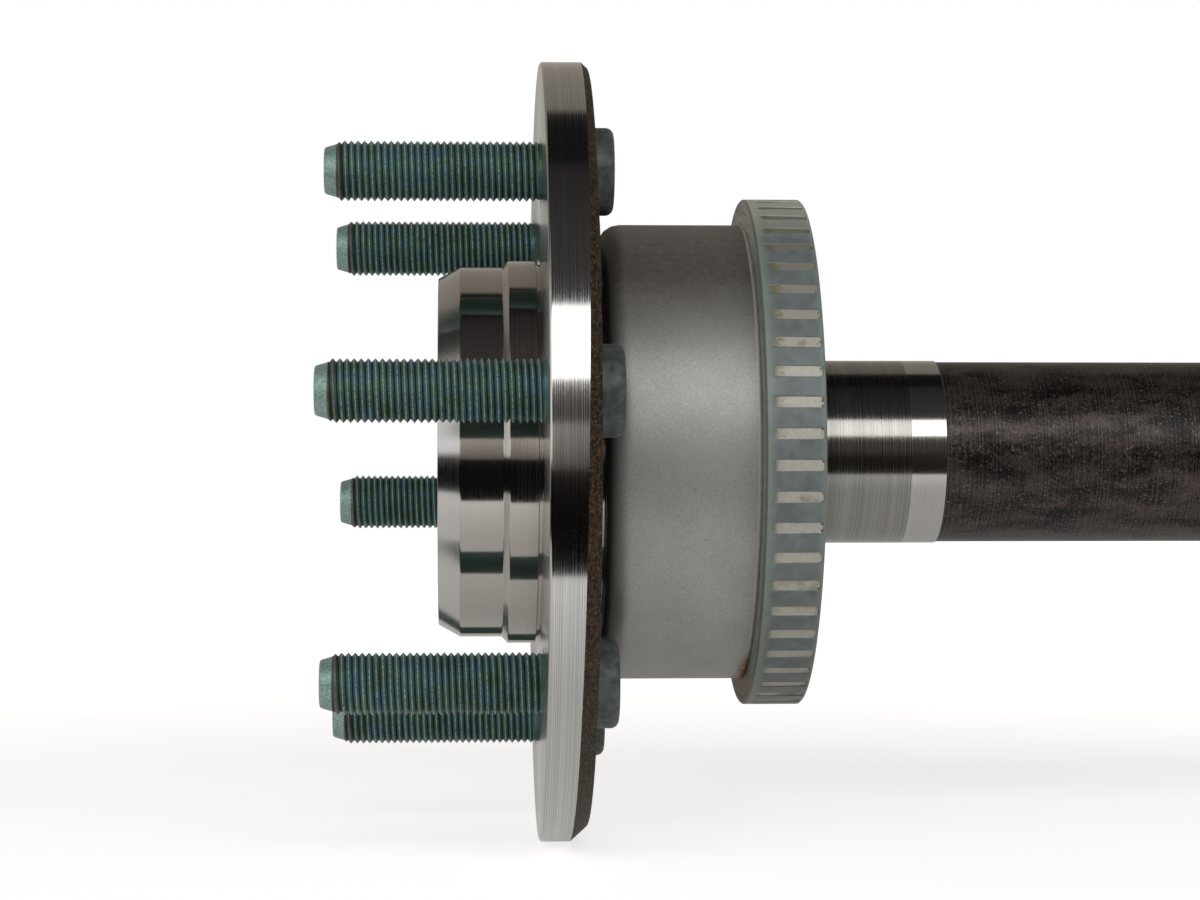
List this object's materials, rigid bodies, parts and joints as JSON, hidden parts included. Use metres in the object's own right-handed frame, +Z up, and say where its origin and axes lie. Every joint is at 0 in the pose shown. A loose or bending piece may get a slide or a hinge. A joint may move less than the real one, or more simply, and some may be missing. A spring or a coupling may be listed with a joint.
{
  "type": "axle shaft",
  "caption": "Flanged rear axle shaft with a stepped pilot, pressed-in wheel studs, a tone ring on a drawn carrier, a bearing journal and a splined inner end.",
  "frame": {"origin": "centre of the flange's wheel face, on the axle's axis", "axes": "+X along the axle from the wheel face to the splined end, +Z up, the studs point to -X"},
  "size_m": [0.9091, 0.1819, 0.182],
  "materials": {
    "axle_steel": "turned steel with dark forged skin",
    "carrier_steel": "satin drawn sheet",
    "ring_steel": "matt blue-grey with light pocket floors",
    "stud_steel": "dark green coated"
  },
  "bodies": {
    "root": {"axle_shaft": "axle_steel", "tone_ring_carrier": "carrier_steel", "tone_ring": "ring_steel", "wheel_stud_1": "stud_steel", "wheel_stud_2": "stud_steel", "wheel_stud_3": "stud_steel", "wheel_stud_4": "stud_steel", "wheel_stud_5": "stud_steel", "wheel_stud_6": "stud_steel"}
  },
  "joints": []
}
